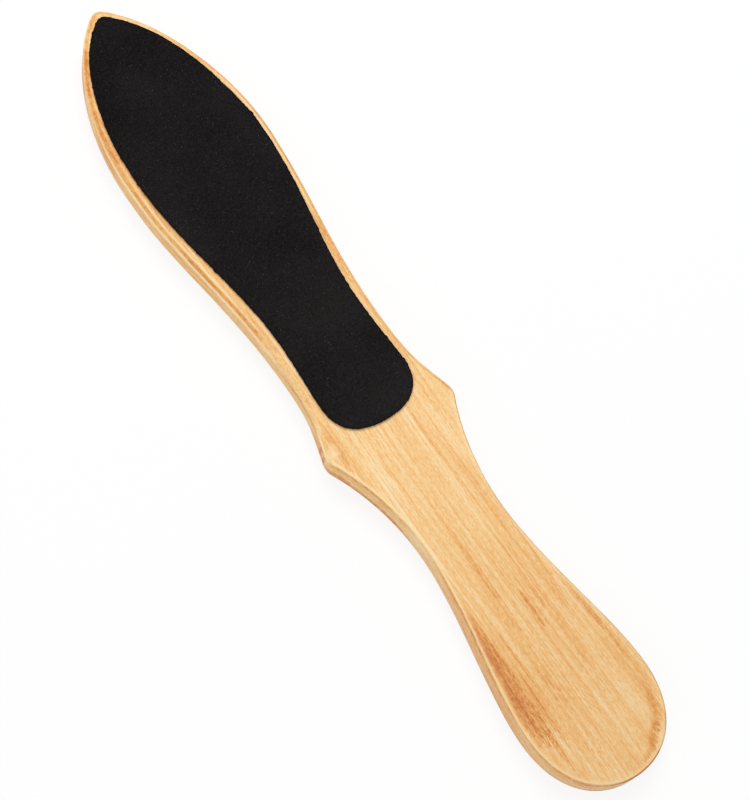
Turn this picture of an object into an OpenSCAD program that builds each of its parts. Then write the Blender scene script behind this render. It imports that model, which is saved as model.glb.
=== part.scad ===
// Wooden foot file: a leaf-shaped blade with pointed shoulders, a waisted grip with a
// rounded end, and one abrasive sheet stuck to each face of the blade.
// The file lies flat on its rear sheet. The origin is under the middle of its outline,
// X runs across, Y along the board towards the tip, and Z up. Stations are measured
// along the board from the tip.

/* [Blade] */
// Distance from the tip to the widest part of the blade
tip_run = 50.5; // [35:0.5:70]
// Distance from the widest part of the blade to its neck
blade_run = 65.5; // [50:0.5:90]
// Width of the blade at its widest
blade_width = 43.5; // [38:0.5:56]
// Width of the blade at its neck
neck_width = 31.6; // [27:0.1:36]
// Radius of the rounded tip
nose_radius = 2.8; // [1.5:0.1:5]
// Angle between the centre line and the side where it leaves the rounded tip
nose_angle = 53.5; // [40:0.5:65]

/* [Shoulders] */
// Distance from the neck to the points of the shoulders
flare_run = 26; // [20:1:36]
// Width across the points of the shoulders, before they are rounded
shoulder_width = 40.6; // [38:0.1:50]
// Angle at which the blade side runs out to the shoulder
flare_angle = 17; // [10:1:25]
// Angle at which the grip side runs in from the shoulder
return_angle = 26.5; // [20:0.5:35]
// Radius that rounds the point of a shoulder
shoulder_radius = 5.2; // [1:0.1:7]

/* [Grip] */
// Distance from the shoulders to the waist of the grip
shoulder_run = 32.5; // [26:0.5:45]
// Distance from the waist to the widest part of the rounded end
grip_run = 53; // [40:0.2:70]
// Distance from the widest part of the rounded end to the end of the board
end_run = 22.5; // [17:0.1:30]
// Width of the grip at its waist
waist_width = 24.4; // [18:0.2:30]
// Width of the rounded end
bulb_width = 38; // [32:0.5:46]

/* [Edges] */
// Thickness of the board
board_thickness = 6.4; // [4:0.1:9]
// Width of the bevel around the blade, seen from above
bevel_width = 1.3; // [0.8:0.1:1.8]
// Depth of the bevel around the blade
bevel_depth = 0.8; // [0.6:0.1:1.6]
// Radius of the rounded edge around the grip
edge_radius = 0.6; // [0.3:0.1:1.2]

/* [Abrasive sheets] */
// Wood left bare beyond the tip of a sheet
tip_margin = 2.7; // [2:0.1:5]
// Wood left bare beside a sheet at the widest part of the blade
side_margin = 2.35; // [2:0.05:5]
// Wood left bare beside a sheet at its neck
neck_margin = 3.15; // [2:0.05:5]
// Wood left bare beside the square end of a sheet, against the neck of the blade
foot_margin = 2.35; // [2:0.05:5]
// Distance by which the neck of a sheet lies nearer the tip than the neck of the blade
neck_lead = 8; // [0:0.5:12]
// Distance between the square end of a sheet and the points of the shoulders
foot_gap = 2; // [0.5:0.1:12]
// Length of the rounded corners at the square end of a sheet
foot_run = 11.4; // [8:0.2:15]
// Radius of the rounded tip of a sheet
sheet_nose_radius = 2.4; // [1:0.1:4]
// Thickness of the adhesive film under a sheet
adhesive_thickness = 0.1; // [0.05:0.05:0.3]
// Thickness of the backing of a sheet
backing_thickness = 0.3; // [0.15:0.05:0.6]
// Thickness of the grit coat of a sheet
grit_thickness = 0.3; // [0.1:0.05:0.8]

/* [Hidden] */

// Stations of the board, from its tip
widest_at = tip_run;
neck_at = widest_at + blade_run;
shoulder_at = neck_at + flare_run;
waist_at = shoulder_at + shoulder_run;
bulb_at = waist_at + grip_run;
board_length = bulb_at + end_run;

// Stations and half widths of a sheet, which follows the blade
sheet_neck_at = neck_at - neck_lead;
sheet_end_at = shoulder_at - foot_gap;
sheet_foot_at = sheet_end_at - foot_run;
sheet_half = blade_width / 2 - side_margin;
sheet_neck_half = neck_width / 2 - neck_margin;
sheet_foot_half = neck_width / 2 - foot_margin;
sheet_thickness = adhesive_thickness + backing_thickness + grit_thickness;

// How far each curve holds the direction of its ends, as shares of the run it covers
tip_pull_shares = [0.28, 0.40];
blade_pull_shares = [0.36, 0.40];
flare_pull_shares = [0.48, 0.36];
return_pull_shares = [0.33, 0.31];
grip_pull_shares = [0.33, 0.27];
end_pull_shares = [0.67, 0.52];
sheet_tip_pull_shares = [0.41, 0.15];
sheet_blade_pull_shares = [0.33, 0.27];
sheet_flare_pull_shares = [0.42, 0.25];
sheet_foot_pull_shares = [0.65, 0.67];

// Straight steps in each stretch of an outline
nose_steps = 6;
tip_steps = 22;
blade_steps = 22;
flare_steps = 9;
shoulder_steps = 6;
return_steps = 12;
grip_steps = 20;
end_steps = 18;
sheet_flare_steps = 6;
sheet_foot_steps = 14;
edge_steps = 3;

wood_colour = [0.93, 0.76, 0.53];
film_colour = [0.85, 0.82, 0.70];
backing_colour = [0.24, 0.20, 0.17];
coarse_colour = [0.13, 0.12, 0.125];
fine_colour = [0.27, 0.265, 0.27];

// A direction that leans out from the centre line by an angle
function leaning(angle) = [sin(angle), cos(angle)];

// Point of a cubic curve at the share t of its course
function curve_point(a, b, c, d, t) =
    pow(1 - t, 3) * a + 3 * pow(1 - t, 2) * t * b + 3 * (1 - t) * pow(t, 2) * c + pow(t, 3) * d;

// Curve from one point to another that starts and ends in the given directions.
// The last point is left for the stretch that follows.
function stretch(from, start_dir, start_pull, to, end_dir, end_pull, steps) =
    [for (i = [0 : steps - 1])
        curve_point(from, from + start_pull * start_dir, to - end_pull * end_dir, to, i / steps)];

// Arc around a centre, swept from one lean of its course to another, without its last point
function round_stretch(centre, radius, from_lean, to_lean, steps) =
    [for (i = [0 : steps - 1])
        let (lean = from_lean + (to_lean - from_lean) * i / steps)
        centre + radius * [cos(lean), -sin(lean)]];

// One side of a leaf tip: the rounded nose and the side that swells to its widest half width
function leaf_side(start_at, radius, angle, half, reach_at, pull_shares) =
    let (nose = [0, start_at + radius],
         leave = nose + radius * [cos(angle), -sin(angle)],
         run = reach_at - start_at)
    concat(
        round_stretch(nose, radius, 90, angle, nose_steps),
        stretch(leave, leaning(angle), run * pull_shares[0],
                [half, reach_at], leaning(0), run * pull_shares[1], tip_steps));

// Right side of the board from the tip to its end, as half widths at stations
shoulder_turn = (flare_angle + return_angle) / 2;
shoulder_cut = shoulder_radius * tan(shoulder_turn);
shoulder_point = [shoulder_width / 2, shoulder_at];
shoulder_start = shoulder_point - shoulder_cut * leaning(flare_angle);
shoulder_end = shoulder_point + shoulder_cut * leaning(-return_angle);
shoulder_centre = shoulder_start - shoulder_radius * [cos(flare_angle), -sin(flare_angle)];

blade_side = concat(
    leaf_side(0, nose_radius, nose_angle, blade_width / 2, widest_at, tip_pull_shares),
    stretch([blade_width / 2, widest_at], leaning(0), blade_run * blade_pull_shares[0],
            [neck_width / 2, neck_at], leaning(0), blade_run * blade_pull_shares[1], blade_steps),
    stretch([neck_width / 2, neck_at], leaning(0), flare_run * flare_pull_shares[0],
            shoulder_start, leaning(flare_angle), flare_run * flare_pull_shares[1], flare_steps));
shoulder_side = round_stretch(shoulder_centre, shoulder_radius, flare_angle, -return_angle,
                              shoulder_steps);
grip_side = concat(
    stretch(shoulder_end, leaning(-return_angle), shoulder_run * return_pull_shares[0],
            [waist_width / 2, waist_at], leaning(0), shoulder_run * return_pull_shares[1],
            return_steps),
    stretch([waist_width / 2, waist_at], leaning(0), grip_run * grip_pull_shares[0],
            [bulb_width / 2, bulb_at], leaning(0), grip_run * grip_pull_shares[1], grip_steps),
    stretch([bulb_width / 2, bulb_at], leaning(0), end_run * end_pull_shares[0],
            [0, board_length], leaning(-90), bulb_width / 2 * end_pull_shares[1], end_steps));
board_side = concat(blade_side, shoulder_side, grip_side, [[0, board_length]]);

// Share of the blade's bevel in the edge at each point of the board's side:
// all of it on the blade, none on the grip, and a mitre across the shoulder
side_bevel_shares = concat(
    [for (point = blade_side) 1],
    [for (i = [0 : shoulder_steps - 1]) 1 - i / shoulder_steps],
    [for (point = grip_side) 0],
    [0]);

// Right side of a sheet from its tip to its square end
sheet_side = concat(
    leaf_side(tip_margin, sheet_nose_radius, nose_angle, sheet_half, widest_at,
              sheet_tip_pull_shares),
    stretch([sheet_half, widest_at], leaning(0), blade_run * sheet_blade_pull_shares[0],
            [sheet_neck_half, sheet_neck_at], leaning(0), blade_run * sheet_blade_pull_shares[1],
            blade_steps),
    stretch([sheet_neck_half, sheet_neck_at], leaning(0),
            (sheet_foot_at - sheet_neck_at) * sheet_flare_pull_shares[0],
            [sheet_foot_half, sheet_foot_at], leaning(0),
            (sheet_foot_at - sheet_neck_at) * sheet_flare_pull_shares[1], sheet_flare_steps),
    stretch([sheet_foot_half, sheet_foot_at], leaning(0), foot_run * sheet_foot_pull_shares[0],
            [0, sheet_end_at], leaning(-90), sheet_foot_half * sheet_foot_pull_shares[1],
            sheet_foot_steps),
    [[0, sheet_end_at]]);

// Place of a half width and station in the model, on the right or the left side
function right_place(point) = [point.x, board_length / 2 - point.y];
function left_place(point) = [-point.x, board_length / 2 - point.y];

// Closed outline, anticlockwise from above: up the right side to the tip, down the left
function closed_outline(side) =
    let (last = len(side) - 1)
    concat([for (i = [last : -1 : 0]) right_place(side[i])],
           [for (i = [1 : last - 1]) left_place(side[i])]);
function closed_shares(shares) =
    let (last = len(shares) - 1)
    concat([for (i = [last : -1 : 0]) shares[i]], [for (i = [1 : last - 1]) shares[i]]);

board_outline = closed_outline(board_side);
bevel_shares = closed_shares(side_bevel_shares);
outline_count = len(board_outline);

// Direction into the board at each point of its outline
function inward(i) =
    let (before = board_outline[(i + outline_count - 1) % outline_count],
         after = board_outline[(i + 1) % outline_count],
         along = after - before)
    [-along.y, along.x] / norm(along);
inward_dirs = [for (i = [0 : outline_count - 1]) inward(i)];

// Edge profile: how far in from the outline, and how far below the face, after each step.
// The blade's is a flat bevel and the grip's a quarter round.
function edge_step(bevel, step) =
    let (part = step / edge_steps)
    bevel * [bevel_width * part, bevel_depth * (1 - part)]
    + (1 - bevel) * edge_radius * [1 - cos(90 * part), 1 - sin(90 * part)];

// The last step runs on past the face, where the plank cuts it level
function edge_reach(bevel, step) =
    step < edge_steps ? edge_step(bevel, step)
    : 2 * edge_step(bevel, edge_steps) - edge_step(bevel, edge_steps - 1);

function edge_ring(step, upper) =
    [for (i = [0 : outline_count - 1])
        let (reach = edge_reach(bevel_shares[i], step),
             place = board_outline[i] + reach.x * inward_dirs[i])
        [place.x, place.y, upper ? board_thickness - reach.y : reach.y]];

// The board's outline with its edges worked on both faces, a little over thickness
module edged_blank() {
    rings = concat([for (step = [edge_steps : -1 : 0]) edge_ring(step, false)],
                   [for (step = [0 : edge_steps]) edge_ring(step, true)]);
    ring_count = len(rings);
    polyhedron(
        points = [for (ring = rings) each ring],
        faces = concat(
            [[for (i = [0 : outline_count - 1]) i]],
            [for (r = [0 : ring_count - 2], i = [0 : outline_count - 1])
                let (next = (i + 1) % outline_count, low = r * outline_count,
                     high = low + outline_count)
                [low + i, high + i, high + next, low + next]],
            [[for (i = [outline_count - 1 : -1 : 0]) (ring_count - 1) * outline_count + i]]));
}

// The flat plank that the board is cut from
module plank() {
    translate([-blade_width, -board_length, 0])
        cube([2 * blade_width, 2 * board_length, board_thickness]);
}

// One layer of a sheet, between two heights
module sheet_layer(base, thickness) {
    translate([0, 0, base])
        linear_extrude(thickness)
            polygon(closed_outline(sheet_side));
}

board_base = sheet_thickness;
board_top = board_base + board_thickness;

module wooden_board() {
    color(wood_colour)
        translate([0, 0, board_base])
            intersection() {
                edged_blank();
                plank();
            }
}

module front_adhesive() {
    color(film_colour)
        sheet_layer(board_top, adhesive_thickness);
}

module front_backing() {
    color(backing_colour)
        sheet_layer(board_top + adhesive_thickness, backing_thickness);
}

module front_grit() {
    color(coarse_colour)
        sheet_layer(board_top + adhesive_thickness + backing_thickness, grit_thickness);
}

module rear_adhesive() {
    color(film_colour)
        sheet_layer(board_base - adhesive_thickness, adhesive_thickness);
}

module rear_backing() {
    color(backing_colour)
        sheet_layer(grit_thickness, backing_thickness);
}

module rear_grit() {
    color(fine_colour)
        sheet_layer(0, grit_thickness);
}

wooden_board();
front_adhesive();
front_backing();
front_grit();
rear_adhesive();
rear_backing();
rear_grit();
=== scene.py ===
# Wooden foot file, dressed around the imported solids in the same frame: a lacquered board
# with worked edges, and a die-cut abrasive sheet on each face of its blade.
# The outlines repeat the driving sizes of the part's source. Plan sizes are worked out in
# millimetres, as half widths at stations from the tip, and a mesh is made in metres.
import math

import bmesh
import bpy
from mathutils import Matrix, Vector, noise
from mathutils.geometry import interpolate_bezier


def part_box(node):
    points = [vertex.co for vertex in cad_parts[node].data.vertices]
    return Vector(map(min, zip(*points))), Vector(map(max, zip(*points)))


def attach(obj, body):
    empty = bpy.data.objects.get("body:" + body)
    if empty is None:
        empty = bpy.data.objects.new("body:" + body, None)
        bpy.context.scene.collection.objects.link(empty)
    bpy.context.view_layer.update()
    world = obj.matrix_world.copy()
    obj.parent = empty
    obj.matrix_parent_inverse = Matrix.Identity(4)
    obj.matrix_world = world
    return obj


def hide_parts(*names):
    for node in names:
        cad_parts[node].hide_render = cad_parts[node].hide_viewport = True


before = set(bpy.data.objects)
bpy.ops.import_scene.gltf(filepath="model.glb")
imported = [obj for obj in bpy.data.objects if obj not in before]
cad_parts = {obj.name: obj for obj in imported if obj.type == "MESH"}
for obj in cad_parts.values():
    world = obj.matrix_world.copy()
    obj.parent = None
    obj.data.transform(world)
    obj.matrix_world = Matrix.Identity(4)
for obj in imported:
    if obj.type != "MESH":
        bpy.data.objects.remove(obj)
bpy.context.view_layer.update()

MM = 0.001

# Driving sizes of the board, in millimetres and degrees
TIP_RUN = 50.5
BLADE_RUN = 65.5
BLADE_WIDTH = 43.5
NECK_WIDTH = 31.6
NOSE_RADIUS = 2.8
NOSE_ANGLE = 53.5
FLARE_RUN = 26
SHOULDER_WIDTH = 40.6
FLARE_ANGLE = 17
RETURN_ANGLE = 26.5
SHOULDER_RADIUS = 5.2
SHOULDER_RUN = 32.5
GRIP_RUN = 53
END_RUN = 22.5
WAIST_WIDTH = 24.4
BULB_WIDTH = 38
BEVEL_WIDTH = 1.3
BEVEL_DEPTH = 0.8
EDGE_RADIUS = 0.6

# Driving sizes of a sheet
TIP_MARGIN = 2.7
SIDE_MARGIN = 2.35
NECK_MARGIN = 3.15
FOOT_MARGIN = 2.35
NECK_LEAD = 8
FOOT_GAP = 2
FOOT_RUN = 11.4
SHEET_NOSE_RADIUS = 2.4

# How far each curve holds the direction of its ends, as shares of the run it covers
TIP_PULL_SHARES = (0.28, 0.40)
BLADE_PULL_SHARES = (0.36, 0.40)
FLARE_PULL_SHARES = (0.48, 0.36)
RETURN_PULL_SHARES = (0.33, 0.31)
GRIP_PULL_SHARES = (0.33, 0.27)
END_PULL_SHARES = (0.67, 0.52)
SHEET_TIP_PULL_SHARES = (0.41, 0.15)
SHEET_BLADE_PULL_SHARES = (0.33, 0.27)
SHEET_FLARE_PULL_SHARES = (0.42, 0.25)
SHEET_FOOT_PULL_SHARES = (0.65, 0.67)

# Stations from the tip
NECK_AT = TIP_RUN + BLADE_RUN
SHOULDER_AT = NECK_AT + FLARE_RUN
WAIST_AT = SHOULDER_AT + SHOULDER_RUN
BULB_AT = WAIST_AT + GRIP_RUN
BOARD_LENGTH = BULB_AT + END_RUN

# Steps of each curve before its points are spaced out evenly
CURVE_STEPS = 60

# Spacing of the points along an outline, and the number of face strips across
BOARD_SPACING = 0.6
BOARD_STRIPS = 18
GRIT_SPACING = 0.33
GRIT_STRIPS = 120
PLAIN_STRIPS = 2

# Rounding of the worn arrises of the bevel, and the steps over the edge
ARRIS_REACH = 0.35
ARRIS_STEPS = 5
BEVEL_STEPS = 2
WALL_STEPS = 8

# Past the edge, the wear and painted highlight fade out over this width of the face, and end at an
# even inset
EDGE_LOOK_FADE = 0.3
BLADE_EVEN_INSET = 2.5
GRIP_EVEN_INSET = 1.6

# How pale each step over an edge is, partly from wear and partly as a painted highlight, from
# the wall to the face: at the outer arris of the blade, at its inner arris, and over the grip's
# edge
OUTER_WEAR_AND_SHEEN = (0.2, 0.8, 1, 1, 0.7, 0, 0, 0, 0, 0, 0, 0, 0, 0)
INNER_WEAR_AND_SHEEN = (0, 0, 0, 0, 0, 0, 0, 0.1, 0.4, 0.6, 0.6, 0.4, 0.1, 0)
LEFT_GRIP_WEAR_AND_SHEEN = (0, 0, 0, 0, 0, 0, 0, 0.2, 0.5, 0.7, 0.8, 0.8, 0.3, 0)
RIGHT_GRIP_WEAR_AND_SHEEN = (0, 0, 0, 0, 0, 0, 0, 0, 0, 0.1, 0.2, 0.4, 0.45, 0)

# How much of the edge's deeper tone each step has, partly the wood's and partly painted shade
# where the edge turns away from the light and along its bottom rim
LEFT_BLADE_TONE_AND_SHADE = (0, 0, 0, 0.1, 0.3, 0.9, 1, 0.9, 0.6, 0.3, 0.2, 0.2, 0.3, 0.3)
RIGHT_BLADE_TONE_AND_SHADE = (0.5, 0.6, 0.6, 0.7, 0.7, 0.7, 0.7, 0.6, 0.4, 0.2, 0, 0, 0, 0)
LEFT_GRIP_TONE_AND_SHADE = (0.5, 0.7, 0.9, 0.9, 0.9, 0.8, 0.5, 0.2, 0, 0, 0, 0, 0, 0)
RIGHT_GRIP_TONE_AND_SHADE = (0.8, 0.9, 1, 1, 1, 1, 0.9, 0.8, 0.6, 0.3, 0.1, 0, 0, 0)

# The edge's tone also reaches down the left wall of the grip, over its upper steps
GRIP_WALL_DEPTH = (0, 0, 0, 0, 0, 0, 0.1, 0.3)

# Heights of the plan between which the wear and painted highlight of the inner arris come and go
LEFT_WEAR_AND_SHEEN_STARTS = (82, 66)
LEFT_WEAR_AND_SHEEN_ENDS = (34, 10)
RIGHT_WEAR_AND_SHEEN_ENDS = (50, 38)

# Between these heights the outer arris on the left has little wear or painted highlight, as it has
# on the right
LEFT_DULL_STARTS = (16, 7)
LEFT_DULL_ENDS = (-6, -11)
LEFT_DULL_SHARE = 0.75
RIGHT_DULL_SHARE = 0.8

# Over this half width at the tip and the end, the look of one side turns into the other's
SIDE_BLEND = 4

# The point of the left shoulder has a small pale facet, partly wear and partly painted
# highlight: its height of the plan, its reach and how pale it is
FACET_AT = -15.6
FACET_REACH = 4
FACET_WEAR_AND_SHEEN = 0.8

# The front bevels were cut by hand, wider on the left than on the right
LEFT_BEVEL_SHARE = 1.10
RIGHT_BEVEL_SHARE = 0.86

# The size of the edge changes slowly and quickly along it: amount and length of each change
SLOW_CHANGE = (0.10, 16)
QUICK_CHANGE = (0.05, 4)

# The blade's bevel ends over this length at the point of the shoulder
MITRE_LENGTH = 2.4

# The board is shaped by hand and its middle line wanders a little, and the front sheet
# follows a line of its own: stations from the tip, and how far each is off to the right
BOARD_DRIFT = [(0, 0), (24, -0.14), (52, 0), (64, -0.22), (78, -0.18), (156, 0.25), (206, -0.06),
               (250, 0)]
FRONT_SHEET_DRIFT = [(0, -0.24), (10, -0.24), (34, 0), (50, 0.42), (80, 0.46), (142, 0.14)]
REAR_SHEET_DRIFT = [(0, 0.15), (70, -0.15), (142, 0.1)]


def leaning(angle):
    """Unit direction that leans out from the centre line by an angle in degrees."""
    return Vector((math.sin(math.radians(angle)), math.cos(math.radians(angle))))


def stretch(start, start_dir, start_pull, end, end_dir, end_pull):
    """Curve between two points with given end directions, without its last point."""
    first = start + start_pull * start_dir
    second = end - end_pull * end_dir
    return interpolate_bezier(start, first, second, end, CURVE_STEPS + 1)[:-1]


def round_stretch(centre, radius, from_lean, to_lean):
    """Arc swept from one lean of its course to another, without its last point."""
    arc = []
    for i in range(CURVE_STEPS):
        lean = math.radians(from_lean + (to_lean - from_lean) * i / CURVE_STEPS)
        arc.append(centre + radius * Vector((math.cos(lean), -math.sin(lean))))
    return arc


def leaf_side(start_at, radius, half, pull_shares):
    """Side of a leaf tip: its rounded nose and the swell to its widest half width."""
    nose = Vector((0, start_at + radius))
    lean = math.radians(NOSE_ANGLE)
    leave = nose + radius * Vector((math.cos(lean), -math.sin(lean)))
    run = TIP_RUN - start_at
    return round_stretch(nose, radius, 90, NOSE_ANGLE) + stretch(
        leave, leaning(NOSE_ANGLE), run * pull_shares[0],
        Vector((half, TIP_RUN)), leaning(0), run * pull_shares[1])


def board_side():
    """Right side of the board from its tip to its end."""
    turn = math.radians((FLARE_ANGLE + RETURN_ANGLE) / 2)
    cut = SHOULDER_RADIUS * math.tan(turn)
    point = Vector((SHOULDER_WIDTH / 2, SHOULDER_AT))
    flare = math.radians(FLARE_ANGLE)
    start = point - cut * leaning(FLARE_ANGLE)
    end = point + cut * leaning(-RETURN_ANGLE)
    centre = start - SHOULDER_RADIUS * Vector((math.cos(flare), -math.sin(flare)))
    widest = Vector((BLADE_WIDTH / 2, TIP_RUN))
    neck = Vector((NECK_WIDTH / 2, NECK_AT))
    waist = Vector((WAIST_WIDTH / 2, WAIST_AT))
    bulb = Vector((BULB_WIDTH / 2, BULB_AT))
    last = Vector((0, BOARD_LENGTH))
    ahead = leaning(0)
    return (
        leaf_side(0, NOSE_RADIUS, BLADE_WIDTH / 2, TIP_PULL_SHARES)
        + stretch(widest, ahead, BLADE_RUN * BLADE_PULL_SHARES[0],
                  neck, ahead, BLADE_RUN * BLADE_PULL_SHARES[1])
        + stretch(neck, ahead, FLARE_RUN * FLARE_PULL_SHARES[0],
                  start, leaning(FLARE_ANGLE), FLARE_RUN * FLARE_PULL_SHARES[1])
        + round_stretch(centre, SHOULDER_RADIUS, FLARE_ANGLE, -RETURN_ANGLE)
        + stretch(end, leaning(-RETURN_ANGLE), SHOULDER_RUN * RETURN_PULL_SHARES[0],
                  waist, ahead, SHOULDER_RUN * RETURN_PULL_SHARES[1])
        + stretch(waist, ahead, GRIP_RUN * GRIP_PULL_SHARES[0],
                  bulb, ahead, GRIP_RUN * GRIP_PULL_SHARES[1])
        + stretch(bulb, ahead, END_RUN * END_PULL_SHARES[0],
                  last, leaning(-90), BULB_WIDTH / 2 * END_PULL_SHARES[1])
        + [last])


def sheet_side():
    """Right side of a sheet from its tip to its square end."""
    end_at = SHOULDER_AT - FOOT_GAP
    foot_at = end_at - FOOT_RUN
    neck_at = NECK_AT - NECK_LEAD
    flare = foot_at - neck_at
    widest = Vector((BLADE_WIDTH / 2 - SIDE_MARGIN, TIP_RUN))
    neck = Vector((NECK_WIDTH / 2 - NECK_MARGIN, neck_at))
    foot = Vector((NECK_WIDTH / 2 - FOOT_MARGIN, foot_at))
    last = Vector((0, end_at))
    ahead = leaning(0)
    return (
        leaf_side(TIP_MARGIN, SHEET_NOSE_RADIUS, widest.x, SHEET_TIP_PULL_SHARES)
        + stretch(widest, ahead, BLADE_RUN * SHEET_BLADE_PULL_SHARES[0],
                  neck, ahead, BLADE_RUN * SHEET_BLADE_PULL_SHARES[1])
        + stretch(neck, ahead, flare * SHEET_FLARE_PULL_SHARES[0],
                  foot, ahead, flare * SHEET_FLARE_PULL_SHARES[1])
        + stretch(foot, ahead, FOOT_RUN * SHEET_FOOT_PULL_SHARES[0],
                  last, leaning(-90), foot.x * SHEET_FOOT_PULL_SHARES[1])
        + [last])


def evenly(points, spacing):
    """Points at nearly equal steps along a line, with both its ends."""
    reached = [0.0]
    for before, after in zip(points, points[1:]):
        reached.append(reached[-1] + (after - before).length)
    count = round(reached[-1] / spacing)
    spaced = []
    at = 0
    for step in range(count):
        goal = reached[-1] * step / count
        while reached[at + 1] < goal:
            at += 1
        share = (goal - reached[at]) / (reached[at + 1] - reached[at])
        spaced.append(points[at].lerp(points[at + 1], share))
    return spaced + [points[-1]]


def drift_at(station, drift):
    """How far the middle line is off to the right at a station, eased between the listed."""
    for (before, first), (after, second) in zip(drift, drift[1:]):
        if station <= after:
            return first + (second - first) * smooth_share(station, before, after)
    return drift[-1][1]


def outline_of(side, drift):
    """Closed outline in the model's plan: from the tip down the right side, and back up."""
    middles = [Vector((drift_at(p.y, drift), BOARD_LENGTH / 2 - p.y)) for p in side]
    right = [middle + Vector((p.x, 0)) for p, middle in zip(side, middles)]
    left = [middle - Vector((p.x, 0)) for p, middle in zip(side, middles)]
    return right + left[-2:0:-1]


def inward_dirs(outline):
    """Direction into the shape at each point of an outline."""
    count = len(outline)
    dirs = []
    for i in range(count):
        along = outline[(i + 1) % count] - outline[i - 1]
        dirs.append(Vector((along.y, -along.x)).normalized())
    return dirs


def smooth_share(value, low, high):
    """Share from 0 to 1 of the way between two values, with soft ends."""
    share = min(max((value - low) / (high - low), 0), 1)
    return share * share * (3 - 2 * share)


def wobble(place, change, seed):
    """Irregular change at a place of the plan, from its amount and its length."""
    amount, length = change
    return amount * noise.noise(Vector((place.x / length, place.y / length, seed)))


def bevel_section(size):
    """Inset and drop of the points over the blade's bevel, from the wall to the face."""
    low = Vector((0, BEVEL_DEPTH * size))
    high = Vector((BEVEL_WIDTH * size, 0))
    slope = (high - low).normalized() * ARRIS_REACH
    below = low + Vector((0, ARRIS_REACH))
    beyond = high + Vector((ARRIS_REACH, 0))
    flat_start = low + slope
    flat_end = high - slope
    flat = [flat_start.lerp(flat_end, i / (BEVEL_STEPS + 1)) for i in range(1, BEVEL_STEPS + 1)]
    return (interpolate_bezier(below, low, low, flat_start, ARRIS_STEPS) + flat
            + interpolate_bezier(flat_end, high, high, beyond, ARRIS_STEPS)
            + [beyond + Vector((EDGE_LOOK_FADE, 0)), Vector((BLADE_EVEN_INSET, 0))])


def round_section(size):
    """Inset and drop of the points over the grip's rounded edge, from the wall to the face."""
    last = 2 * ARRIS_STEPS + BEVEL_STEPS - 1
    radius = EDGE_RADIUS * size
    angles = [math.radians(90 * i / last) for i in range(last + 1)]
    over = [radius * Vector((1 - math.cos(a), 1 - math.sin(a))) for a in angles]
    return over + [over[-1] + Vector((EDGE_LOOK_FADE, 0)), Vector((GRIP_EVEN_INSET, 0))]


def blended(first, second, share):
    """Values over an edge that has a share of one look and the rest of another."""
    return [share * one + (1 - share) * other for one, other in zip(first, second)]


def right_share(place):
    """0 on the left side of the board and 1 on the right, changing over the tip and the end."""
    return smooth_share(place.x, -SIDE_BLEND, SIDE_BLEND)


def kept_between(height, starts, ends):
    """1 between two ranges of heights, listed from the tip down, and 0 outside them."""
    return smooth_share(height, *starts) * (1 - smooth_share(height, *ends))


def edge_look(place, blade_share):
    """Wear with painted highlight, and deeper tone with painted shade, of the steps over the edge
    at a place of the outline.
    """
    right = right_share(place)
    left_kept = kept_between(place.y, LEFT_WEAR_AND_SHEEN_STARTS, LEFT_WEAR_AND_SHEEN_ENDS)
    right_kept = 1 - smooth_share(place.y, *RIGHT_WEAR_AND_SHEEN_ENDS)
    inner = right * right_kept + (1 - right) * left_kept
    dull = kept_between(place.y, LEFT_DULL_STARTS, LEFT_DULL_ENDS)
    outer_kept = 1 - RIGHT_DULL_SHARE * right - LEFT_DULL_SHARE * dull * (1 - right)
    facet = (1 - right) * max(0, 1 - abs(place.y - FACET_AT) / FACET_REACH)
    blade = [outer_kept * outer + inner * inside
             for outer, inside in zip(OUTER_WEAR_AND_SHEEN, INNER_WEAR_AND_SHEEN)]
    wear_and_sheen = blended(blade, blended(RIGHT_GRIP_WEAR_AND_SHEEN, LEFT_GRIP_WEAR_AND_SHEEN, right), blade_share)
    wear_and_sheen = [max(value, FACET_WEAR_AND_SHEEN * facet) for value in wear_and_sheen]
    depth = blended(blended(RIGHT_BLADE_TONE_AND_SHADE, LEFT_BLADE_TONE_AND_SHADE, right),
                    blended(RIGHT_GRIP_TONE_AND_SHADE, LEFT_GRIP_TONE_AND_SHADE, right), blade_share)
    return wear_and_sheen, depth


def ring_faces(rings):
    """Faces between each closed ring of vertex numbers and the next."""
    faces = []
    for below, above in zip(rings, rings[1:]):
        for i in range(len(below)):
            after = (i + 1) % len(below)
            faces.append((below[i], below[after], above[after], above[i]))
    return faces


def add_strips(faces, ring, inner, strips, flip):
    """Faces across a closed ring of vertex numbers, in rows of strips between its sides."""
    half = len(ring) // 2
    rows = [[ring[0]]]
    for i in range(1, half):
        rows.append([ring[i]] + inner[i - 1] + [ring[-i]])
    rows.append([ring[half]])
    for before, after in zip(rows, rows[1:]):
        for j in range(strips):
            a = before[min(j, len(before) - 1)]
            b = before[min(j + 1, len(before) - 1)]
            c = after[min(j + 1, len(after) - 1)]
            d = after[min(j, len(after) - 1)]
            corners = list(dict.fromkeys((a, b, c, d)))
            faces.append(corners[::-1] if flip else corners)


def mesh_object(name, places, faces, attributes, smooth):
    """Object from places in metres, with its floating-point point attributes."""
    mesh = bpy.data.meshes.new(name)
    mesh.from_pydata(places, [], faces)
    for key, values in attributes.items():
        mesh.attributes.new(key, "FLOAT", "POINT").data.foreach_set("value", values)
    work = bmesh.new()
    work.from_mesh(mesh)
    bmesh.ops.recalc_face_normals(work, faces=work.faces)
    work.to_mesh(mesh)
    work.free()
    mesh.polygons.foreach_set("use_smooth", [smooth] * len(mesh.polygons))
    made = bpy.data.objects.new(name, mesh)
    bpy.context.scene.collection.objects.link(made)
    return made


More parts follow.
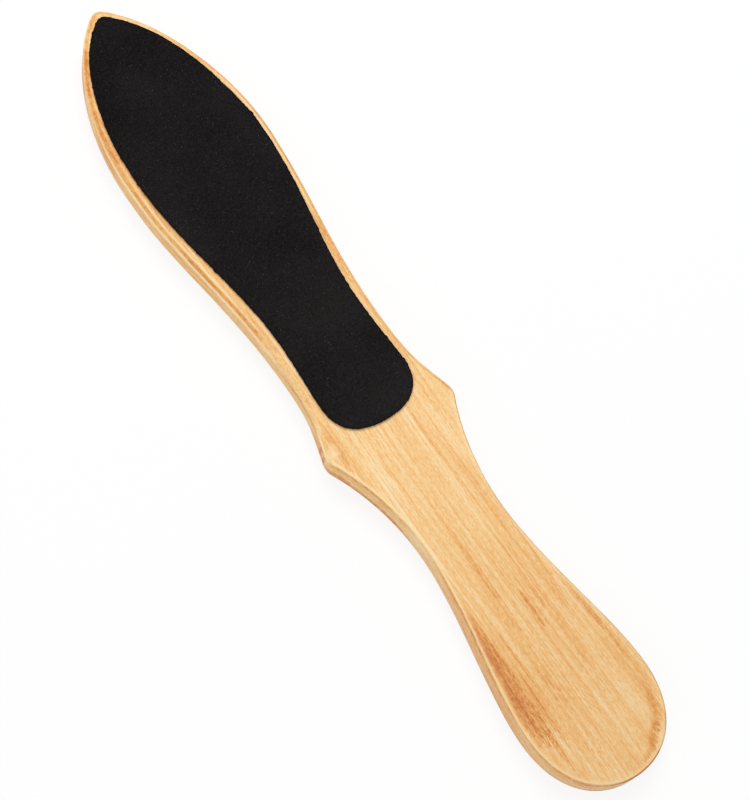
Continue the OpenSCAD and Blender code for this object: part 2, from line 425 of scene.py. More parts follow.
def make_board():
    """Board with a bevel around the blade, a rounded edge on the grip and arrises made paler by
    wear and painted highlight.
    """
    low, high = (corner.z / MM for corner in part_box("wooden_board"))
    outline = outline_of(evenly(board_side(), BOARD_SPACING), BOARD_DRIFT)
    inward = inward_dirs(outline)
    count = len(outline)
    places = []
    values = {"arris": [], "bevel": [], "wall": [], "end_grain": []}

    def put(place, height, arris=0.0, bevel=0.0, wall=0.0, end_grain=0.0):
        places.append((place.x * MM, place.y * MM, height * MM))
        for key, value in zip(values, (arris, bevel, wall, end_grain)):
            values[key].append(value)
        return len(places) - 1

    shoulder_y = BOARD_LENGTH / 2 - SHOULDER_AT
    edges = {True: [], False: []}
    wall_share = []
    for place in outline:
        share = smooth_share(place.y, shoulder_y - MITRE_LENGTH / 2, shoulder_y + MITRE_LENGTH / 2)
        wear_and_sheen, depth = edge_look(place, share)
        right = right_share(place)
        for upper in edges:
            side = 1 if upper else -1
            hand = 1 + wobble(place, SLOW_CHANGE, 3 * side)
            hand += wobble(place, QUICK_CHANGE, 9 * side)
            if upper:
                hand *= LEFT_BEVEL_SHARE + (RIGHT_BEVEL_SHARE - LEFT_BEVEL_SHARE) * right
            section = [b.lerp(r, 1 - share)
                       for b, r in zip(bevel_section(hand), round_section(hand))]
            edges[upper].append((section, wear_and_sheen, depth))
        wall_share.append((1 - share) * (1 - right))

    def ring_over(step, upper):
        numbers = []
        for i, place in enumerate(outline):
            section, wear_and_sheen, depth = edges[upper][i]
            inset, drop = section[step]
            at = place + inset * inward[i]
            height = high - drop if upper else low + drop
            wall = 1.0 if step == 0 else 0.0
            numbers.append(put(at, height, wear_and_sheen[step], depth[step], wall, abs(inward[i].y)))
        return numbers

    def ring_on_wall(step):
        numbers = []
        for i, place in enumerate(outline):
            bottom = low + edges[False][i][0][0].y
            top = high - edges[True][i][0][0].y
            height = bottom + (top - bottom) * step / (WALL_STEPS + 1)
            depth = wall_share[i] * GRIP_WALL_DEPTH[step - 1]
            numbers.append(put(place, height, 0.0, depth, 1.0, abs(inward[i].y)))
        return numbers

    steps = len(OUTER_WEAR_AND_SHEEN)
    rings = [ring_over(step, False) for step in range(steps - 1, -1, -1)]
    rings += [ring_on_wall(step) for step in range(1, WALL_STEPS + 1)]
    rings += [ring_over(step, True) for step in range(steps)]

    def inner_rows(ring, height):
        rows = []
        for i in range(1, count // 2):
            right = Vector(places[ring[i]][:2]) / MM
            left = Vector(places[ring[-i]][:2]) / MM
            row = []
            for j in range(1, BOARD_STRIPS):
                at = right.lerp(left, j / BOARD_STRIPS)
                row.append(put(at, height))
            rows.append(row)
        return rows

    faces = ring_faces(rings)
    add_strips(faces, rings[0], inner_rows(rings[0], low), BOARD_STRIPS, False)
    add_strips(faces, rings[-1], inner_rows(rings[-1], high), BOARD_STRIPS, True)
    return mesh_object("pine_board", places, faces, values, True)


# The irregular cut of a sheet's edge: amount and length of its waves, swells and teeth
CUT_WAVES = (0.10, 0.8)
CUT_SWELLS = (0.07, 3.5)
CUT_TEETH = (0.10, 0.4)

# Where a change of this kind passes the threshold, a nib stands out of the cut, by what is
# past the threshold times the amount
CUT_NIBS = (1.0, 1.6)
NIB_THRESHOLD = 0.38
NIB_AMOUNT = 0.7

# Inside the irregular cut, a sheet's rows of faces start at this even inset
SHEET_EVEN_INSET = 0.5

# The cut presses the rim of a layer down by this share of its thickness, over this width,
# and the rim is darker there by this share
RIM_PRESS = 0.25
RIM_WIDTH = 0.12
RIM_SHADE = 0.6

# The film and the grains end this far inside the paper
PAPER_LEAD = 0.02

# How much the large and the small bumps of the grains count, and how much smaller these are
LARGE_BUMPS = 0.7
SMALL_BUMPS = 0.5
SMALL_BUMP_SHARE = 1 / 2.1

# Each sheet: its drift, the size and the relief of its grains, and the seed of its noise
SHEETS = {
    "front": (FRONT_SHEET_DRIFT, 0.8, 0.12, 2.0),
    "rear": (REAR_SHEET_DRIFT, 0.6, 0.07, 60.0),
}


def ragged(outline, inward, seed):
    """Outline with the small irregular bites and nibs of a die-cut edge."""
    cut = []
    for place, into in zip(outline, inward):
        off = wobble(place, CUT_WAVES, seed) + wobble(place, CUT_SWELLS, seed + 20)
        off += wobble(place, CUT_TEETH, seed + 60)
        off -= NIB_AMOUNT * max(0, wobble(place, CUT_NIBS, seed + 40) - NIB_THRESHOLD)
        cut.append(place + into * off)
    return cut


def make_layer(name, node, strips, drift, inset, seed, relief=0.0, grain=1.0):
    """Layer of a sheet in the heights of its node, with grains raised on the outer side."""
    low, high = (corner.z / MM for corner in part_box(node))
    outward = 1 if name.startswith("front") else -1
    inner, outer = (low, high) if outward > 0 else (high, low)
    outline = outline_of(evenly(sheet_side(), GRIT_SPACING), drift)
    inward = inward_dirs(outline)
    edge = [p + into * inset for p, into in zip(ragged(outline, inward, seed), inward)]
    places = []
    rims = []

    def put(place, height, rim):
        places.append((place.x * MM, place.y * MM, height * MM))
        rims.append(rim)
        return len(places) - 1

    def grain_drop(place):
        bumps = wobble(place, (LARGE_BUMPS, grain), seed)
        bumps += wobble(place, (SMALL_BUMPS, grain * SMALL_BUMP_SHARE), seed + 5)
        return relief * min(max(0.5 - bumps, 0), 1)

    press = RIM_PRESS * (high - low)
    bottom = [put(p, inner, 1.0) for p in edge]
    shoulder = [put(p, outer - outward * press, 1.0) for p in edge]
    crown = [put(p + RIM_WIDTH * into, outer - outward * grain_drop(p), RIM_SHADE)
             for p, into in zip(edge, inward)]
    even = [p + SHEET_EVEN_INSET * into for p, into in zip(outline, inward)]
    rim_inside = [put(p, outer - outward * grain_drop(p), 0.0) for p in even]
    base_inside = [put(p, inner, 0.0) for p in even]
    faces = ring_faces((base_inside, bottom, shoulder, crown, rim_inside))
    inner_rows = []
    for right, left in zip(even[1:len(even) // 2], even[:len(even) // 2:-1]):
        row = []
        for j in range(1, strips):
            at = right.lerp(left, j / strips)
            row.append(put(at, outer - outward * grain_drop(at), 0.0))
        inner_rows.append(row)
    add_strips(faces, rim_inside, inner_rows, strips, False)
    add_strips(faces, base_inside, [[] for _ in inner_rows], 1, True)
    made = mesh_object(name, places, faces, {"rim": rims}, relief == 0)
    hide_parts(node)
    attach(made, "root")
    return made


def linear(red, green, blue):
    """Colour of a node from the 0 to 255 values at which it shows."""
    def channel(value):
        share = value / 255
        return share / 12.92 if share <= 0.04045 else ((share + 0.055) / 1.055) ** 2.4
    return (channel(red), channel(green), channel(blue), 1.0)


def seen_share(nodes, links):
    """1 for what the camera sees, also in gloss or through glass, and 0 for plain light."""
    rays = nodes.new("ShaderNodeLightPath")
    seen = rays.outputs["Is Camera Ray"]
    for kind in ("Is Glossy Ray", "Is Transmission Ray"):
        larger = nodes.new("ShaderNodeMath")
        larger.operation = "MAXIMUM"
        links.new(seen, larger.inputs[0])
        links.new(rays.outputs[kind], larger.inputs[1])
        seen = larger.outputs["Value"]
    return seen


class Finish:
    """A material's node tree, built from short calls that return output sockets."""

    def __init__(self, name):
        self.material = bpy.data.materials.new(name)
        self.material.use_nodes = True
        self.nodes = self.material.node_tree.nodes
        self.links = self.material.node_tree.links
        self.surface = self.nodes["Principled BSDF"]

    def feed(self, socket, value):
        """Links an output to a socket, or sets the socket to a plain value."""
        if isinstance(value, bpy.types.NodeSocket):
            self.links.new(value, socket)
        else:
            socket.default_value = value

    def place(self):
        """Place on the object, in millimetres."""
        coords = self.nodes.new("ShaderNodeTexCoord")
        return self.times(coords.outputs["Object"], (1 / MM, 1 / MM, 1 / MM))

    def times(self, vector, factors):
        made = self.nodes.new("ShaderNodeVectorMath")
        made.operation = "MULTIPLY"
        self.feed(made.inputs[0], vector)
        made.inputs[1].default_value = factors
        return made.outputs["Vector"]

    def plus(self, first, second):
        made = self.nodes.new("ShaderNodeVectorMath")
        made.operation = "ADD"
        self.feed(made.inputs[0], first)
        self.feed(made.inputs[1], second)
        return made.outputs["Vector"]

    def vector(self, x, y, z):
        made = self.nodes.new("ShaderNodeCombineXYZ")
        for socket, value in zip(made.inputs, (x, y, z)):
            self.feed(socket, value)
        return made.outputs["Vector"]

    def parts(self, vector):
        made = self.nodes.new("ShaderNodeSeparateXYZ")
        self.feed(made.inputs[0], vector)
        return made.outputs["X"], made.outputs["Y"], made.outputs["Z"]

    def math(self, operation, first, second=0.0, third=0.0):
        made = self.nodes.new("ShaderNodeMath")
        made.operation = operation
        for socket, value in zip(made.inputs, (first, second, third)):
            self.feed(socket, value)
        return made.outputs["Value"]

    def sum_of(self, total, *added):
        """Total with further values added, each given with its factor."""
        for value, factor in added:
            total = self.math("MULTIPLY_ADD", value, factor, total)
        return total

    def noise(self, vector, scales, detail=2.0, rough=0.5):
        """Noise about zero, mostly between -0.5 and 0.5, with one scale or three."""
        if isinstance(scales, tuple):
            vector, scales = self.times(vector, scales), 1.0
        made = self.nodes.new("ShaderNodeTexNoise")
        self.feed(made.inputs["Vector"], vector)
        made.inputs["Scale"].default_value = scales
        made.inputs["Detail"].default_value = detail
        made.inputs["Roughness"].default_value = rough
        return self.math("SUBTRACT", made.outputs["Fac"], 0.5)

    def cells(self, vector, scale, output="Distance"):
        made = self.nodes.new("ShaderNodeTexVoronoi")
        self.feed(made.inputs["Vector"], vector)
        made.inputs["Scale"].default_value = scale
        return made.outputs[output]

    def between(self, value, low, high):
        """Share from 0 to 1 of the way between two values, with soft ends."""
        made = self.nodes.new("ShaderNodeMapRange")
        made.interpolation_type = "SMOOTHSTEP"
        self.feed(made.inputs["Value"], value)
        made.inputs["From Min"].default_value = low
        made.inputs["From Max"].default_value = high
        return made.outputs["Result"]

    def spot(self, vector, centre, sizes, lean):
        """1 at the centre of an oval, falling to 0 at its rim."""
        local = self.nodes.new("ShaderNodeMapping")
        local.vector_type = "TEXTURE"
        self.feed(local.inputs["Vector"], vector)
        local.inputs["Location"].default_value = centre
        local.inputs["Rotation"].default_value = (0, 0, math.radians(lean))
        local.inputs["Scale"].default_value = sizes
        ball = self.nodes.new("ShaderNodeTexGradient")
        ball.gradient_type = "SPHERICAL"
        self.feed(ball.inputs["Vector"], local.outputs["Vector"])
        return ball.outputs["Fac"]

    def attribute(self, name):
        made = self.nodes.new("ShaderNodeAttribute")
        made.attribute_name = name
        return made.outputs["Fac"]

    def ramp(self, value, stops):
        made = self.nodes.new("ShaderNodeValToRGB")
        elements = made.color_ramp.elements
        while len(elements) < len(stops):
            elements.new(0.5)
        for stop, (position, colour) in zip(elements, stops):
            stop.position = position
            stop.color = colour
        self.feed(made.inputs["Fac"], value)
        return made.outputs["Color"]

    def mix(self, amount, first, second, kind="MIX"):
        """Mix of two colours, whose sockets come after the plain and the vector ones."""
        made = self.nodes.new("ShaderNodeMix")
        made.data_type = "RGBA"
        made.blend_type = kind
        self.feed(made.inputs["Factor"], amount)
        self.feed(made.inputs[6], first)
        self.feed(made.inputs[7], second)
        return made.outputs[2]

    def bump(self, height, strength, distance):
        made = self.nodes.new("ShaderNodeBump")
        made.inputs["Strength"].default_value = strength
        made.inputs["Distance"].default_value = distance
        self.feed(made.inputs["Height"], height)
        self.feed(self.surface.inputs["Normal"], made.outputs["Normal"])

    def set(self, **values):
        """Feeds sockets of the surface, named with underscores for spaces."""
        for key, value in values.items():
            self.feed(self.surface.inputs[key.replace("_", " ")], value)


# Streaks of deeper or paler wood on the front: centre x and y, half width and half length
# in millimetres, lean in degrees, and how much deeper the tone is
STREAKS = [
    # Deep patch along the left edge of the grip
    (-13.4, -76, 1.7, 16, 0, 0.38),
    (-14.4, -87, 2.8, 14, -3, 0.36),
    (-15.2, -98, 3.6, 10, 0, 0.36),
    (-13.6, -107, 1.1, 10, 0, 0.26),
    (-10.6, -90, 2.2, 22, 0, 0.10),
    (2, -80, 14, 34, 0, 0.04),
    # Beside its right edge
    (10.2, -60, 2.2, 30, 0, 0.10),
    # Paler stripes
    (-11.4, -109, 1.9, 7, 0, -0.14),
    (-10.5, -40, 1.6, 26, 0, -0.08),
    (-16.2, -104, 1.0, 6, 6, -0.12),
    (-9.5, -24, 2.6, 13, 0, -0.08),
    (6.2, -45, 0.9, 18, 0, -0.16),
    (12.4, -83, 1.6, 12, 0, -0.10),
    (2.2, -112, 1.6, 12, 0, -0.08),
    (8.0, -104, 2.6, 14, 0, -0.06),
    (-2.2, -82, 0.9, 30, 0, -0.07),
    (4.4, -82, 1.2, 10, 0, -0.08),
    (12.2, -27, 1.2, 12, 0, -0.11),
    # Deeper ones
    (-10.6, -102, 1.5, 18, 0, 0.17),
    (-5.5, -92, 1.8, 36, 0, 0.16),
    (-6.0, -44, 0.9, 12, 0, 0.07),
    (8.0, -54, 1.1, 18, 0, 0.06),
    (10.0, -98, 1.2, 9, 0, 0.10),
    (0.2, -98, 0.9, 9, 0, 0.07),
    # Next to the point of the left shoulder
    (-16.6, -13, 2.0, 11, 0, 0.12),
    # Beside the sheet
    (-9.4, 110, 2.6, 11, -38, 0.19),
    (-16.6, 92, 2.6, 18, -24, 0.12),
    (-19.6, 64, 1.3, 12, 0, 0.14),
    (-18.8, 40, 1.4, 12, 3, 0.14),
    (-16.9, 20, 2.0, 15, 6, 0.22),
    (15.9, 34, 1.0, 14, -7, 0.20),
    (17.3, -27, 1.2, 11, -17, 0.09),
    (-14.5, 22, 1.0, 14, 6, 0.20),
]

# Streaks that don't fray sideways, listed in the same way
THIN_STREAKS = [
    (2.3, -76, 0.65, 7, 0, 0.42),
    (-3.7, -62, 1.2, 24, 0, 0.18),
    (-3.6, -56, 0.4, 8, 0, 0.16),
    (-3.8, -65, 0.5, 7, 0, 0.10),
    (5.3, -74, 0.4, 5, 0, 0.10),
    (-8.2, -26.5, 0.5, 4, 0, 0.12),
    (-1.2, -94.7, 0.6, 1.8, 0, 0.18),
    (-5.4, -93, 1.2, 2.5, 0, 0.08),
    (-13.0, -88, 0.7, 24, 0, 0.16),
    (-9.2, -87, 0.5, 13, 0, 0.14),
    (-14.7, -19, 0.6, 14, 0, 0.12),
    (-16.0, -13, 1.1, 13, 0, 0.16),
    (2.2, -70, 1.4, 24, 0, 0.05),
    (9.0, -44, 0.7, 22, 0, 0.08),
    (-5.6, -22, 0.6, 14, 0, 0.10),
    (-0.6, -24, 0.5, 12, 0, 0.08),
    (-8.1, -74, 0.6, 19, 0, -0.14),
    (4.9, -50, 0.6, 22, 0, -0.12),
    (-1.9, -27, 0.6, 14, 0, -0.10),
    (-11.6, -34, 0.6, 20, 0, -0.10),
    (5.6, -32, 0.6, 16, 0, -0.08),
    (-6.0, -112, 0.5, 14, -4, -0.12),
    # Band along the right edge of the grip and around its end
    (14.2, -81, 1.2, 10, 4, 0.19),
    (15.2, -91, 0.9, 9, 2, 0.07),
    (15.8, -100, 1.0, 7, 1, 0.08),
    (15.4, -107, 1.2, 5, -8, 0.10),
    (14.0, -111.8, 1.4, 4.5, -28, 0.13),
    (12.0, -115.6, 1.5, 4, -40, 0.20),
    (9.6, -118.8, 1.7, 4.5, -52, 0.30),
    (5.6, -122, 1.0, 4, -72, 0.20),
]

# Streaks on the rear, listed in the same way
REAR_STREAKS = [
    (6.0, -86, 1.2, 15, 0, 0.18),
    (7.6, -74, 0.6, 18, 0, 0.12),
    (-8.6, -52, 0.9, 20, 0, 0.13),
    (12.4, -104, 1.3, 9, -5, 0.18),
    (-2.8, -100, 0.6, 13, 0, 0.14),
    (2.4, -34, 0.8, 15, 0, -0.10),
    (-13.0, -96, 0.9, 12, 3, -0.12),
]

# Streaks on the walls, with the height of the centre and the half height as well. The ones around
# the tip, centred at 86 mm and beyond, darken its walls and are painted shade.
WALL_STREAKS = [
    (-15.5, -32, 0.7, 7, 19, 2.6, 26, 0.50),
    (-16.5, -84, 3.4, 6, 30, 4.0, 0, 0.08),
    (-12.6, -49, 5.6, 4, 11, 1.8, 0, -0.14),
    (-19.0, 86, 3.9, 5, 12, 1.5, -20, 0.22),
    (-11.0, 104, 1.2, 9, 12, 1.6, -40, 0.16),
    (-16.8, 1, 5.5, 5, 12, 1.1, 0, 0.28),
    (-18.5, -10, 1.4, 5, 8, 2.6, 0, 0.18),
    (-19.6, -12.4, 3.4, 4, 0.9, 4.2, 0, 0.5),
    (-19.6, -14.8, 3.0, 4, 0.8, 3.6, 0, 0.4),
    (-7.0, -122, 0.9, 10, 6, 2.0, 0, 0.5),
    (-10.5, 111, 3.9, 6, 10, 6.0, -35, 0.26),
    (-19.6, 88, 5.6, 5, 9, 1.2, -20, 0.24),
    (-18.6, -20, 1.6, 4, 8, 2.6, 26, 0.20),
]

# Edges that are deeper or paler than the rest, listed as on the front
EDGE_STREAKS = [
    (-19.5, 35, 9, 20, 0, 0.12),
    (-17.4, 6, 8, 19, 0, -0.30),
    (-18.6, -10, 8, 8, 0, -0.12),
    (-12.6, -45, 5, 14, 0, -0.20),
    (-15.5, -106, 6, 13, 20, -0.20),
    (-10.0, 114, 6, 9, -35, -0.10),
    (-9.0, 108, 12, 24, -20, 0.06),
    (21.5, 76, 4, 10, 0, 0.14),
    (19.8, 34, 4, 15, 0, 0.03),
    (19.6, -15, 5, 9, 0, 0.14),
    (2.0, -124.5, 10, 3, 0, 0.6),
]

# Fine marks that the cutter left across the edges, listed as on the front
CUTTER_MARKS = [
    (14.6, -79, 1.1, 8, 4, 0.07),
    (15.1, -86, 1.8, 6, 3, 0.10),
    (-14.2, -58, 1.6, 12, 0, 0.16),
    (-16.8, -77, 1.8, 12, -4, 0.16),
    (20.6, 56, 1.6, 9, 0, 0.14),
    (-19.8, 24, 2.2, 16, 4, 0.14),
]

# The marks of the cutter repeat along the board at this many radians per millimetre
MARK_RATE = 7.4

# Heights in the frame at which the streaks of the front, its edges and the rear are centred,
# and how far a streak reaches up and down
FRONT_HEIGHT = 7.1
MARK_HEIGHT = 6.9
EDGE_HEIGHT = 6.7
REAR_HEIGHT = 0.7
STREAK_DEPTH = 2.8

# A streak comes to its full tone over this share of its reach, from its rim inwards, and
# streaks that lie over each other come to no more than the second value. Over the edges
# and the walls, the streaks of the faces lose the third value as their share.
STREAK_RISE = 0.45
MOST_STREAK = 0.44
STREAK_LOSS = 0.8

# Growth rings: place of the pith, spacing of the rings, and how far they stray
PITH_SIDE = 22.0
PITH_DEPTH = 90.0
RING_SPACING = 1.7
RING_STRAY = 9.0

# Layers of the grain: their scales per millimetre, octaves, roughness, and share of the tone
BANDS = ((0.13, 0.005, 0.13), 1, 0.7, 0.30)
LINES = ((0.80, 0.009, 0.80), 2, 0.7, 0.44)
THREADS = ((2.3, 0.03, 2.3), 1, 0.6, 0.55)
FIBRES = ((3.6, 0.80, 3.6), 2, 0.7, 0.90)

# Tones of the wood, from pale to deep
WOOD_TONES = [
    (0.00, linear(250, 232, 196)),
    (0.25, linear(249, 214, 158)),
    (0.42, linear(245, 198, 132)),
    (0.58, linear(238, 182, 111)),
    (0.75, linear(227, 160, 89)),
    (1.00, linear(200, 118, 60)),
]
BASE_TONE = 0.375
# Pale colour of the arrises, partly wear and partly painted highlight
WORN_AND_LIT_COLOUR = linear(255, 230, 178)
PORE_COLOUR = linear(186, 122, 70)
# Painted shade that darkens the grip towards its end
END_SHADE_TINT = (0.935, 0.895, 0.87, 1.0)


def make_pine():
    """Lacquered straight-grained softwood, with its grain along the board."""
    pine = Finish("lacquered_pine")
    place = pine.place()
    x, y, z = pine.parts(place)

    # The grain wanders a little and spreads towards the end of the grip
    wander = pine.noise(place, (0.02, 0.012, 0.02), 2)
    spread = pine.sum_of(1.0, (pine.between(y, -70, -125), -0.10))
    across = pine.sum_of(pine.math("MULTIPLY", x, spread), (wander, 2.5))
    grain = pine.vector(across, y, z)

    # Growth rings lie nearly flat in the board, around a pith far below it
    ring_warp = pine.noise(grain, (0.09, 0.007, 0.09), 3)
    pith_x = pine.math("SUBTRACT", across, PITH_SIDE)
    pith_z = pine.math("ADD", z, PITH_DEPTH)
    radius = pine.math("SQRT", pine.math(
        "ADD", pine.math("MULTIPLY", pith_x, pith_x), pine.math("MULTIPLY", pith_z, pith_z)))
    warped = pine.sum_of(radius, (ring_warp, RING_STRAY))
    ring = pine.math("FRACT", pine.math("DIVIDE", warped, RING_SPACING))
    late = pine.math("MULTIPLY", pine.between(ring, 0.25, 0.85), pine.between(ring, 1.0, 0.90))

    bands, lines, threads, fibres = (
        pine.noise(grain, *layer[:3]) for layer in (BANDS, LINES, THREADS, FIBRES))
    tone = pine.sum_of(BASE_TONE, (late, 0.06), (bands, BANDS[3]), (lines, LINES[3]),
                       (threads, THREADS[3]), (fibres, FIBRES[3]))

    # Streaks run along the grain, and fray and break up along it
    frayed = pine.plus(place, pine.vector(lines, pine.math("MULTIPLY", fibres, 12.0), 0.0))
    neat = pine.plus(place, pine.vector(0.0, pine.math("MULTIPLY", fibres, 4.0), 0.0))
    broken = pine.sum_of(1.0, (pine.math("ADD", lines, fibres), 0.9))

    def add_streak(total, vector, centre, sizes, lean, depth):
        oval = pine.spot(vector, centre, sizes, lean)
        return pine.sum_of(total, (pine.between(oval, 0.0, STREAK_RISE), depth))

    def summed(listed, height, vector, start):
        total = start
        for centre_x, centre_y, half_width, half_length, lean, depth in listed:
            total = add_streak(total, vector, (centre_x, centre_y, height),
                               (half_width, half_length, STREAK_DEPTH), lean, depth)
        return total

    streaks = summed(STREAKS, FRONT_HEIGHT, frayed, 0.0)
    streaks = summed(THIN_STREAKS, FRONT_HEIGHT, neat, streaks)
    streaks = summed(REAR_STREAKS, REAR_HEIGHT, neat, streaks)
    wall_streaks = 0.0
    for centre_x, centre_y, centre_z, width, length, height, lean, depth in WALL_STREAKS:
        wall_streaks = add_streak(wall_streaks, neat, (centre_x, centre_y, centre_z),
                                  (width, length, height), lean, depth)
    bevel = pine.attribute("bevel")
    wall = pine.attribute("wall")
    off_faces = pine.math("MINIMUM", pine.math("ADD", wall, bevel), 1.0)
    kept_share = pine.sum_of(1.0, (off_faces, -STREAK_LOSS))
    streaks = pine.math("MULTIPLY", streaks, kept_share)
    streaks = pine.sum_of(streaks, (wall_streaks, off_faces))
    streaks = pine.math("MINIMUM", streaks, MOST_STREAK)
    tone = pine.sum_of(tone, (streaks, broken))

    # The cutter left fine marks across the edges in a few places
    ticks = pine.between(pine.math("SINE", pine.math("MULTIPLY", y, MARK_RATE)), 0.0, 1.0)
    tone = pine.sum_of(tone, (ticks, summed(CUTTER_MARKS, MARK_HEIGHT, neat, 0.0)))

    # Edges are deeper in tone and mottled across, partly the wood and partly painted shade, and
    # the walls are striped along
    edge_mottle = pine.noise(place, (0.35, 1.1, 0.35), 3, 0.7)
    edge_tone = summed(EDGE_STREAKS, EDGE_HEIGHT, place, pine.sum_of(0.26, (edge_mottle, 0.6)))
    stripes = pine.noise(place, (0.02, 0.02, 0.75), 3, 0.7)
    patches = pine.noise(place, (0.25, 0.14, 0.5), 3, 0.7)
    wall_tone = pine.sum_of(pine.math("MULTIPLY", stripes, 0.6), (patches, 0.45))
    wall_ends = pine.math("MULTIPLY", wall, pine.attribute("end_grain"))
    tone = pine.sum_of(tone, (bevel, edge_tone), (wall, wall_tone), (wall_ends, 0.05))
    colour = pine.ramp(tone, WOOD_TONES)

    # Arrises are paler from wear and painted highlight, least so around the tip
    wear_and_sheen = pine.math("MULTIPLY", pine.attribute("arris"), pine.between(edge_mottle, -0.7, 0.1))
    wear_and_sheen = pine.math("MULTIPLY", wear_and_sheen, pine.sum_of(1.0, (pine.between(y, 76, 98), -0.85)))
    colour = pine.mix(wear_and_sheen, colour, WORN_AND_LIT_COLOUR)

    # Painted shade: the grip is darker towards its end, where less light falls
    colour = pine.mix(pine.between(y, -20, -118), colour, END_SHADE_TINT, "MULTIPLY")

    # Pores: short dark dashes along the grain
    pores = pine.between(pine.noise(grain, (3.2, 0.35, 3.2), 2), 0.20, 0.30)
    colour = pine.mix(pine.math("MULTIPLY", pores, 0.35), colour, PORE_COLOUR)

    pine.bump(pine.sum_of(fibres, (lines, 0.6), (pores, -0.5)), 0.35, 0.03 * MM)
    pine.set(Base_Color=colour,
             Roughness=pine.sum_of(0.46, (bands, 0.20)),
             Specular_IOR_Level=0.25,
             Coat_Weight=0.1, Coat_Roughness=0.3, Coat_IOR=1.45)
    return pine.material


def make_grit(name, grain, dark, mid, light):
    """Abrasive grains in dark resin, with a few that catch the light."""
    grit = Finish(name)
    place = grit.place()
    shade = grit.noise(place, 0.75 / grain, 4, 0.8)
    patch = grit.noise(place, 0.05, 2)
    facets = grit.cells(place, 2.2 / grain, "Color")
    # The sheet is a little paler towards its foot, and darker at its tip as painted shade
    y = grit.parts(place)[1]
    tone = grit.sum_of(0.42, (shade, 2.0), (patch, 0.5),
                       (grit.between(y, 30, -20), 0.10), (grit.between(y, 86, 100), -0.09))
    colour = grit.ramp(tone, [(0.15, dark), (0.85, mid)])
    spark = grit.between(grit.parts(facets)[0], 0.993, 0.998)
    colour = grit.mix(grit.math("MULTIPLY", spark, 0.4), colour, light)
    rim = grit.attribute("rim")
    colour = grit.mix(grit.math("MULTIPLY", rim, 0.9), colour, linear(5, 4, 4))
    grains = grit.cells(place, 2.0 / grain)
    grit.bump(grit.sum_of(grains, (shade, 0.7)), 0.6, 0.12 * grain * MM)
    grit.set(Base_Color=colour,
             Roughness=grit.sum_of(0.75, (shade, 0.3)),
             Specular_IOR_Level=0.05)
    return grit.material


def make_paper():
    """Dark latex-treated backing paper, seen at the cut edge."""
    paper = Finish("backing_paper")
    place = paper.place()
    pulp = paper.noise(place, 2.5, 3, 0.6)
    colour = paper.ramp(paper.math("ADD", pulp, 0.5),
                        [(0.25, linear(52, 34, 22)), (0.80, linear(104, 72, 46))])
    paper.bump(pulp, 0.5, 0.05 * MM)
    paper.set(Base_Color=colour, Roughness=paper.sum_of(0.8, (pulp, 0.2)),
              Specular_IOR_Level=0.2)
    return paper.material


def make_film():
    """Adhesive film, seen as a thin amber line."""
    film = Finish("adhesive_film")
    place = film.place()
    wave = film.noise(place, 0.8, 3, 0.6)
    colour = film.ramp(film.math("ADD", wave, 0.5),
                       [(0.25, linear(150, 104, 62)), (0.80, linear(206, 156, 98))])
    film.bump(wave, 0.4, 0.04 * MM)
    film.set(Base_Color=colour, Roughness=film.sum_of(0.4, (wave, 0.3)))
    return film.material


# Half the width of the floor in metres, how much of it glows white to the camera, and the
# strength of the light from around
FLOOR_REACH = 4.0
FLOOR_GLOW = 0.86
WORLD_LIGHT = 0.36

# Lamps: place and size in metres, and power
KEY_LAMP = ((0.35, 0.60, 0.95), 0.8, 9.35)
FILL_LAMP = ((-0.85, -0.32, 0.8), 0.9, 3.75)


def make_floor():
    """Wide pale floor that shows as white to the camera and keeps a soft shadow."""
    corners = [(x * FLOOR_REACH, y * FLOOR_REACH, 0)
               for x, y in ((-1, -1), (1, -1), (1, 1), (-1, 1))]
    floor = mesh_object("floor", corners, [(0, 1, 2, 3)], {}, False)
    pale = Finish("pale_floor")
    pale.set(Base_Color=linear(254, 254, 254), Roughness=0.9, Specular_IOR_Level=0.0)
    glow = pale.nodes.new("ShaderNodeEmission")
    seen = seen_share(pale.nodes, pale.links)
    joined = pale.nodes.new("ShaderNodeMixShader")
    pale.feed(joined.inputs[0], pale.math("MULTIPLY", seen, FLOOR_GLOW))
    pale.feed(joined.inputs[1], pale.surface.outputs[0])
    pale.feed(joined.inputs[2], glow.outputs[0])
    pale.feed(pale.nodes["Material Output"].inputs["Surface"], joined.outputs[0])
    floor.data.materials.append(pale.material)


def make_world():
    """White surroundings, seen as plain white and lighting the object more gently."""
    world = bpy.data.worlds.new("surroundings")
    bpy.context.scene.world = world
    world.use_nodes = True
    nodes = world.node_tree.nodes
    links = world.node_tree.links
    shown = nodes["Background"]
    shown.inputs["Color"].default_value = (1, 1, 1, 1)
    shown.inputs["Strength"].default_value = 1.0
    light = nodes.new("ShaderNodeBackground")
    light.inputs["Color"].default_value = (1, 1, 1, 1)
    light.inputs["Strength"].default_value = WORLD_LIGHT
    joined = nodes.new("ShaderNodeMixShader")
    links.new(seen_share(nodes, links), joined.inputs[0])
    links.new(light.outputs[0], joined.inputs[1])
    links.new(shown.outputs[0], joined.inputs[2])
    links.new(joined.outputs[0], nodes["World Output"].inputs["Surface"])


def make_lamp(name, place, size, power):
    """Square soft lamp aimed at the middle of the file."""
    data = bpy.data.lights.new(name, "AREA")
    data.size = size
    data.energy = power
    lamp = bpy.data.objects.new(name, data)
    lamp.location = place
    lamp.rotation_euler = (-Vector(place)).to_track_quat("-Z", "Y").to_euler()
    bpy.context.scene.collection.objects.link(lamp)


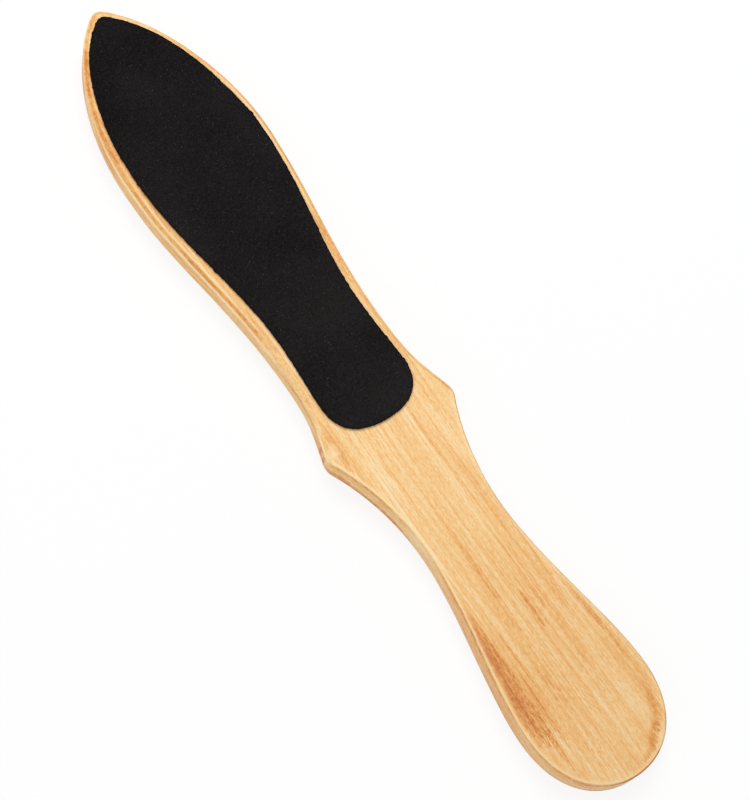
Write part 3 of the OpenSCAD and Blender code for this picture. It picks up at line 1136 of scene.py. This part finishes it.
# The camera stands to the lower left of the file and looks down on its middle: places in
# metres, roll in degrees, lens and sensor in millimetres
CAMERA_PLACE = Vector((-188.10, -120.77, 486.07)) * MM
CAMERA_AIM = Vector((3.10, -7.24, 0)) * MM
CAMERA_ROLL = 35.53
FOCAL_LENGTH = 91.37
SENSOR_WIDTH = 36


def make_camera():
    """Camera at the photograph's angle, rolled so that the file lies diagonally."""
    data = bpy.data.cameras.new("camera")
    data.sensor_width = SENSOR_WIDTH
    data.lens = FOCAL_LENGTH
    data.clip_start = 0.01
    camera = bpy.data.objects.new("camera", data)
    ahead = (CAMERA_AIM - CAMERA_PLACE).normalized()
    level = ahead.cross(Vector((0, 1, 0))).normalized()
    above = level.cross(ahead)
    roll = math.radians(CAMERA_ROLL)
    up = above * math.cos(roll) + level * math.sin(roll)
    right = ahead.cross(up)
    camera.matrix_world = Matrix.Translation(CAMERA_PLACE) @ Matrix(
        (right, up, -ahead)).transposed().to_4x4()
    bpy.context.scene.collection.objects.link(camera)
    bpy.context.scene.camera = camera


def dress(piece, material):
    """Gives a piece its material."""
    piece.data.materials.append(material)


board = make_board()
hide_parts("wooden_board")
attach(board, "root")
dress(board, make_pine())

paper = make_paper()
film = make_film()
coats = {
    "front": make_grit("coarse_grit", 0.30, linear(3, 2, 2), linear(40, 37, 37),
                       linear(130, 126, 116)),
    "rear": make_grit("fine_grit", 0.16, linear(52, 51, 52), linear(86, 84, 85),
                      linear(150, 148, 146)),
}
for side, (drift, grain, relief, seed) in SHEETS.items():
    layer = make_layer(side + "_film", side + "_adhesive", PLAIN_STRIPS, drift, PAPER_LEAD, seed)
    dress(layer, film)
    layer = make_layer(side + "_paper", side + "_backing", PLAIN_STRIPS, drift, 0.0, seed)
    dress(layer, paper)
    layer = make_layer(side + "_grains", side + "_grit", GRIT_STRIPS, drift, PAPER_LEAD, seed,
                       relief, grain)
    dress(layer, coats[side])

make_floor()
make_world()
make_lamp("key", *KEY_LAMP)
make_lamp("fill", *FILL_LAMP)
make_camera()

view = bpy.context.scene.view_settings
view.view_transform = "Standard"
